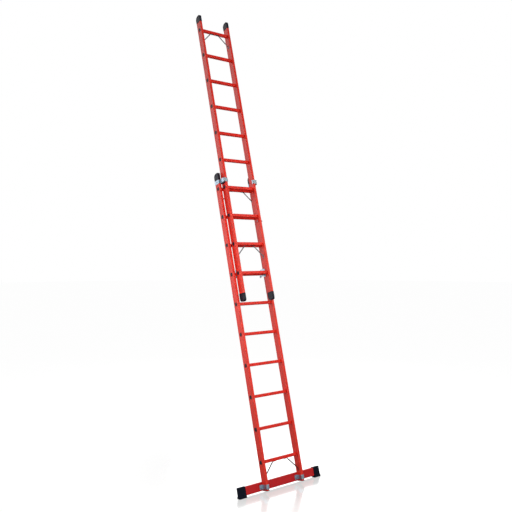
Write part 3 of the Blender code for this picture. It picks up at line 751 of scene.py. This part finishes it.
def add_guide(side, sign):
    """The bent strap that holds the fly against the base's top, its plastic glide and its bolt."""
    node = f"guide_bracket_{side}"
    low, high = local_box(node, "base")
    stile_low, stile_high = local_box(f"base_stile_{side}", "base")
    glide_low, glide_high = local_box(f"guide_glide_{side}", "base")
    outer = max(abs(low.x), abs(high.x)) - PLATE / 2
    inside = min(abs(low.x), abs(high.x)) + PLATE / 2
    start = min(abs(stile_low.x), abs(stile_high.x)) - GAP - PLATE / 2
    back = high.y - PLATE / 2
    beside = max(abs(glide_low.x), abs(glide_high.x)) + GAP + PLATE / 2
    base_front = stile_low.y - GAP - PLATE / 2
    fly_front = low.y + PLATE / 2
    line = [
        (start, back - PLATE / 2 - LIP),
        (start, back),
        (outer, back),
        (outer, base_front),
        (beside, base_front),
        (beside, fly_front),
        (inside, fly_front),
        (inside, fly_front + PLATE / 2 + LIP),
    ]
    outline = bent_strip([(sign * x, y) for x, y in line], PLATE, BEND)
    bolt = bolt_centre(f"guide_bolt_{side}", "base")
    ends = (sign * (outer - OVERSHOOT), sign * (outer + OVERSHOOT))
    holes = [drill("X", ends, (bolt.y, bolt.z), HOLE)]
    add_piece(f"{node}_detailed", strap(outline, low.z, high.z, holes), "base", "zinc_steel", (node,))
    add_bolt(f"guide_bolt_{side}", "base", "X", sign)
    add_glide(side)


def add_glide(side):
    """The plastic block beside the fly's stile, its corners rounded to sit in the strap's bends."""
    node = f"guide_glide_{side}"
    low, high = local_box(node, "base")
    centre = (low + high) / 2
    size = high - low
    rings = []
    ends = (
        (GLIDE_EDGE, low.z),
        (0, low.z + GLIDE_EDGE),
        (0, high.z - GLIDE_EDGE),
        (GLIDE_EDGE, high.z),
    )
    for inset, at in ends:
        outline = rounded_rectangle(size.x - 2 * inset, size.y - 2 * inset, GLIDE_ROUND - inset)
        rings.append(ring(outline, "Z", at, (centre.x, centre.y)))
    add_piece(f"{node}_detailed", loft(rings), "base", "black_plastic", (node,))


def add_bar_bracket(side):
    """The hat-shaped strap that holds the stabiliser bar to a stile, and its two bolts."""
    node = f"stabiliser_bracket_{side}"
    low, high = local_box(node, "base")
    stile_low, stile_high = local_box(f"base_stile_{side}", "base")
    flange_y = high.y - PLATE / 2
    hat_y = low.y + PLATE / 2
    left = stile_low.x - GAP - PLATE / 2
    right = stile_high.x + GAP + PLATE / 2
    line = [
        (low.x, flange_y),
        (left, flange_y),
        (left, hat_y),
        (right, hat_y),
        (right, flange_y),
        (high.x, flange_y),
    ]
    outline = bent_strip(line, PLATE, BEND)
    holes = []
    for place in ("inner", "outer"):
        bolt = bolt_centre(f"stabiliser_bolt_{side}_{place}", "base")
        holes.append(drill("Y", (flange_y - OVERSHOOT, flange_y + OVERSHOOT), (bolt.x, bolt.z), HOLE))
        add_bolt(f"stabiliser_bolt_{side}_{place}", "base", "Y", -1)
    add_piece(f"{node}_detailed", strap(outline, low.z, high.z, holes), "base", "zinc_steel", (node,))


# ---- the foot of the ladder -------------------------------------------------------------------------
BAR_WALL = 0.003
BAR_CORNER = 0.003
TREAD_PITCH = 0.009
TREAD_WIDE = 0.0035
TREAD_CUTTER = 0.005  # height of a groove's cutter, which reaches half of it into the sole
TREAD_ROUND = 0.0008
TREAD_GROOVES = range(-4, 5)


def add_bar():
    node = "stabiliser_bar"
    low, high = local_box(node, "base")
    size = high - low
    centre = ((low.y + high.y) / 2, (low.z + high.z) / 2)
    outer = rounded_rectangle(size.y, size.z, BAR_CORNER)
    inner = rounded_rectangle(size.y - 2 * BAR_WALL, size.z - 2 * BAR_WALL, BAR_CORNER / 2)
    mesh = tube(outer, inner, "X", (low.x, high.x), centre)
    holes = []
    for side, _ in SIDES:
        for place in ("inner", "outer"):
            bolt = bolt_centre(f"stabiliser_bolt_{side}_{place}", "base")
            holes.append(drill("Y", (low.y - OVERSHOOT, high.y + OVERSHOOT), (bolt.x, bolt.z), HOLE))
    add_piece(f"{node}_detailed", cut(mesh, holes), "base", "red_bar", (node,))


def add_foot(side):
    """A rubber foot with grooves across its sole."""
    node = f"stabiliser_foot_{side}"
    low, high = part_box(node)
    middle = (low + high) / 2
    grooves = []
    outline = rounded_rectangle(TREAD_WIDE, TREAD_CUTTER, TREAD_ROUND, 2)
    for number in TREAD_GROOVES:
        centre = (middle.x + number * TREAD_PITCH, low.z)
        ends = (low.y - 2 * OVERSHOOT, high.y + 2 * OVERSHOOT)
        groove = loft([ring(outline, "Y", y, centre) for y in ends])
        groove.transform(MATRIX["base"].inverted())
        grooves.append(groove)
    refined(node, "base", "black_rubber", 0.0010, 2, None, grooves)


# ---- hooks and latches ------------------------------------------------------------------------------
SPRING_TURNS = 3.5
SPRING_STEPS = 16  # in each turn
SPRING_RADIUS = 0.0046
SPRING_LONG = 0.0042
SPRING_LEGS = (0.012, 0.011)
SPRING_SHIFT = 0.0046  # along the pin, from its head
WIRE = 0.0006  # radius
WIRE_SIDES = 8


def spring_mesh():
    """A torsion spring round +Z with two straight legs."""
    steps = int(SPRING_TURNS * SPRING_STEPS)
    path = [Vector((SPRING_RADIUS, -SPRING_LEGS[0], -WIRE))]
    for step in range(steps + 1):
        turn = 2 * math.pi * SPRING_TURNS * step / steps
        x, y = SPRING_RADIUS * math.cos(turn), SPRING_RADIUS * math.sin(turn)
        path.append(Vector((x, y, -WIRE - SPRING_LONG * step / steps)))
    way = (path[-1] - path[-2]).normalized()
    path.append(path[-1] + way * SPRING_LEGS[1])
    rings = []
    for place, point in enumerate(path):
        along = (path[min(place + 1, len(path) - 1)] - path[max(place - 1, 0)]).normalized()
        up = Vector((0, 0, 1))
        side = along.cross(up).normalized()
        up = side.cross(along)
        rings.append([tuple(point + side * WIRE * a + up * WIRE * b) for a, b in circle(1.0, WIRE_SIDES)])
    return loft(rings)


def add_hook(side, sign):
    """A riveted rung hook, its latch and the spring that holds the latch shut."""
    refined(f"fly_hook_{side}", "fly", "zinc_steel", 0.0007)
    refined(f"fly_latch_{side}", "fly", "zinc_steel", 0.0005, 2, f"latch_{side}")
    low, high = local_box(f"fly_latch_{side}", "fly")
    joint = next(joint for joint in frame["joints"] if joint["name"] == f"{side}_latch_pivot")
    pin = MATRIX["fly"].inverted() @ Vector(joint["pos_m"])
    pin.x = (high if sign < 0 else low).x
    spring = placed(spring_mesh(), "X", -sign, pin)
    spring.transform(Matrix.Translation((-sign * SPRING_SHIFT, 0, 0)))
    add_piece(f"latch_spring_{side}", spring, "fly", "zinc_steel", (), f"latch_{side}", 60)


SLEEVE = 0.0055  # radius
SLEEVE_EDGE = 0.0005
SLEEVE_PLAY = 0.0002


def add_stop_bolt():
    """The sleeved bolt that stands out beside the fly's right stile, under the guide."""
    node = "fly_stop_bolt"
    low, high = local_box(node, "fly")
    stile = local_box("fly_stile_right", "fly")[1].x
    middle = (low + high) / 2
    add_bolt(node, "fly", "X", 1)
    ends = (stile + GAP, high.x - HEAD_HIGH)
    steps = (
        (SLEEVE - SLEEVE_EDGE, ends[0]),
        (SLEEVE, ends[0] + SLEEVE_EDGE),
        (SLEEVE, ends[1] - SLEEVE_EDGE),
        (SLEEVE - SLEEVE_EDGE, ends[1]),
    )
    centre = (middle.y, middle.z)
    sleeve = loft([ring(circle(radius), "X", at, centre) for radius, at in steps])
    bore = drill("X", (ends[0] - OVERSHOOT, ends[1] + OVERSHOOT), centre, THREAD + SLEEVE_PLAY)
    add_piece("fly_stop_sleeve", cut(sleeve, [bore]), "fly", "zinc_steel")


# ---- the whole ladder -------------------------------------------------------------------------------
def build_ladder():
    for section in ("base", "fly"):
        for side, _ in SIDES:
            add_stile(section, side)
            refined(f"{section}_top_cap_{side}", section, "black_plastic", 0.0010, 3)
        add_rungs(section)
    for side, sign in SIDES:
        refined(f"base_end_plug_{side}", "base", "black_plastic", 0.0006)
        refined(f"fly_shoe_{side}", "fly", "black_plastic", 0.0010, 3)
        add_guide(side, sign)
        add_bar_bracket(side)
        add_foot(side)
        add_hook(side, sign)
    add_bar()
    add_stop_bolt()
    for brace, section in BRACES.items():
        for side, sign in SIDES:
            add_brace(brace, section, side, sign)


# ---- studio -----------------------------------------------------------------------------------------
FLOOR_RADIUS = 40.0
FLOOR_BELOW = 0.0004  # under the feet
FLOOR_COLOUR = 0.12
FLOOR_GLOW = 0.93
FLOOR_ROUGHNESS = 0.6
MIRROR = 0.36  # how strongly the floor mirrors what stands on it
MIRROR_HAZE = (0.15, 0.19)  # its roughness
MIRROR_FADE = (0.70, 1.40)  # from the ladder, where that starts to fade and where it ends


def add_floor():
    """A plain white floor with a faint soft reflection."""
    shape = bmesh.new()
    bmesh.ops.create_circle(shape, cap_ends=True, segments=96, radius=FLOOR_RADIUS)
    floor = bpy.data.objects.new("studio_floor", mesh_from(shape))
    floor.location = (0, 0, -FLOOR_BELOW)
    bpy.context.scene.collection.objects.link(floor)
    surface = Surface("white_floor", (FLOOR_COLOUR, FLOOR_COLOUR, FLOOR_COLOUR), FLOOR_ROUGHNESS)
    surface.shader.inputs["Specular IOR Level"].default_value = 0.0
    surface.shader.inputs["Emission Color"].default_value = (1.0, 1.0, 1.0, 1.0)
    surface.shader.inputs["Emission Strength"].default_value = FLOOR_GLOW
    mirror = surface.node("ShaderNodeBsdfGlossy")
    haze = surface.spread(surface.noise(3.0, 2.0), 0.3, 0.7, *MIRROR_HAZE)
    surface.join(haze, mirror.inputs["Roughness"])
    distance = surface.node("ShaderNodeVectorMath", operation="LENGTH")
    surface.join(surface.place, distance.inputs[0])
    mix = surface.node("ShaderNodeMixShader")
    surface.join(surface.spread(distance.outputs["Value"], *MIRROR_FADE, MIRROR, 0.0), mix.inputs["Fac"])
    surface.join(surface.shader.outputs["BSDF"], mix.inputs[1])
    surface.join(mirror.outputs["BSDF"], mix.inputs[2])
    surface.join(mix.outputs["Shader"], surface.tree.nodes["Material Output"].inputs["Surface"])
    floor.data.materials.append(surface.material)
    floor.visible_glossy = False
    floor.visible_diffuse = False


WORLD_PEAK = 1.55  # how bright the room is behind the ladder's left
WORLD_BELOW = 0.08  # these three are the shares of it that are left elsewhere
WORLD_FRONT = 0.20
WORLD_RIGHT = 0.66
WORLD_HEIGHTS = (-0.38, -0.08)  # where each change starts and ends, as parts of a unit direction
WORLD_DEPTHS = (0.25, 0.75)
WORLD_ACROSS = (0.50, -0.50)


def add_world():
    """White to the camera. To the ladder it is white behind, grey in front and dark below, as a studio is."""
    world = bpy.data.worlds.new("studio")
    world.use_nodes = True
    bpy.context.scene.world = world
    tree = world.node_tree
    tree.nodes.clear()
    link = tree.links.new
    place = tree.nodes.new("ShaderNodeTexCoord")
    split = tree.nodes.new("ShaderNodeSeparateXYZ")
    link(place.outputs["Generated"], split.inputs["Vector"])

    def share(axis, start, end, darkest):
        """How bright the room is along one direction, from darkest at start to 1 at end."""
        made = tree.nodes.new("ShaderNodeMapRange")
        made.interpolation_type = "SMOOTHSTEP"
        for name, value in (("From Min", start), ("From Max", end), ("To Min", darkest), ("To Max", 1.0)):
            made.inputs[name].default_value = value
        link(split.outputs[axis], made.inputs["Value"])
        return made.outputs["Result"]

    def product(first, second):
        made = tree.nodes.new("ShaderNodeMath")
        made.operation = "MULTIPLY"
        for value, socket in zip((first, second), made.inputs):
            if isinstance(value, float):
                socket.default_value = value
            else:
                link(value, socket)
        return made.outputs["Value"]

    height = share("Z", *WORLD_HEIGHTS, WORLD_BELOW)
    depth = share("Y", *WORLD_DEPTHS, WORLD_FRONT)
    across = share("X", *WORLD_ACROSS, WORLD_RIGHT)
    around = tree.nodes.new("ShaderNodeBackground")
    link(product(product(height, depth), product(across, WORLD_PEAK)), around.inputs["Strength"])
    seen = tree.nodes.new("ShaderNodeBackground")
    for background in (around, seen):
        background.inputs["Color"].default_value = (1, 1, 1, 1)
    path = tree.nodes.new("ShaderNodeLightPath")
    mix = tree.nodes.new("ShaderNodeMixShader")
    output = tree.nodes.new("ShaderNodeOutputWorld")
    link(path.outputs["Is Camera Ray"], mix.inputs["Fac"])
    link(around.outputs["Background"], mix.inputs[1])
    link(seen.outputs["Background"], mix.inputs[2])
    link(mix.outputs["Shader"], output.inputs["Surface"])


def add_light(name, at, target, size, power, colour=(1, 1, 1)):
    """A rectangular soft light that faces the target."""
    light = bpy.data.lights.new(name, "AREA")
    light.shape = "RECTANGLE"
    light.size, light.size_y = size
    light.energy = power
    light.color = colour
    lamp = bpy.data.objects.new(name, light)
    lamp.location = at
    lamp.rotation_euler = (Vector(target) - Vector(at)).to_track_quat("-Z", "Y").to_euler()
    bpy.context.scene.collection.objects.link(lamp)


def add_lights():
    add_light("key", (-0.6, -3.2, 2.3), (0, 0, 2.1), (1.5, 1.5), 50, (1.0, 0.95, 0.86))
    add_light("front", (1.0, -5.0, 3.6), (0, 0, 2.2), (3.0, 3.0), 62, (1.0, 0.97, 0.93))
    add_light("glint", (2.3, -2.8, 3.8), (0, 0, 2.1), (1.6, 1.6), 20, (1.0, 0.90, 0.72))
    add_light("low_front", (3.0, -5.2, 0.9), (0, -0.5, 0.1), (2.5, 1.2), 6, (0.86, 0.94, 1.0))
    add_light("front_fill", (-4.5, -4.0, 1.6), (0, 0, 1.8), (3.0, 2.5), 30)
    add_light("side", (-2.0, -0.4, 1.85), (0, 0, 1.85), (1.0, 1.0), 16)
    add_light("side_sheen", (-4.2, 2.8, 3.0), (0, 0, 2.2), (2.6, 2.8), 14, (0.96, 0.97, 1.0))
    add_light("back_fill", (3.5, 4.5, 3.0), (0, 0, 2.2), (3.0, 3.0), 60)
    add_light("top", (0.0, -1.0, 8.0), (0, 0, 1.0), (3.0, 3.0), 40)


SENSOR = 36.0
LENS = 42.80
CAMERA_AT = (-3.3816, -4.5404, 0.6360)  # these four are in the base section's frame
CAMERA_FORWARD = (0.59617, 0.77530, 0.20853)
CAMERA_RIGHT = (0.80285, -0.57428, -0.16012)
CAMERA_UP = (0.00438, -0.26288, 0.96482)


def add_camera():
    camera = bpy.data.cameras.new("camera")
    camera.lens = LENS
    camera.sensor_width = SENSOR
    holder = bpy.data.objects.new("camera", camera)
    bpy.context.scene.collection.objects.link(holder)
    turn = Matrix((CAMERA_RIGHT, CAMERA_UP, -Vector(CAMERA_FORWARD))).transposed()
    holder.matrix_world = MATRIX["base"] @ Matrix.Translation(CAMERA_AT) @ turn.to_4x4()
    bpy.context.scene.camera = holder


build_ladder()
add_floor()
add_world()
add_lights()
add_camera()
bpy.context.scene.view_settings.view_transform = "Standard"
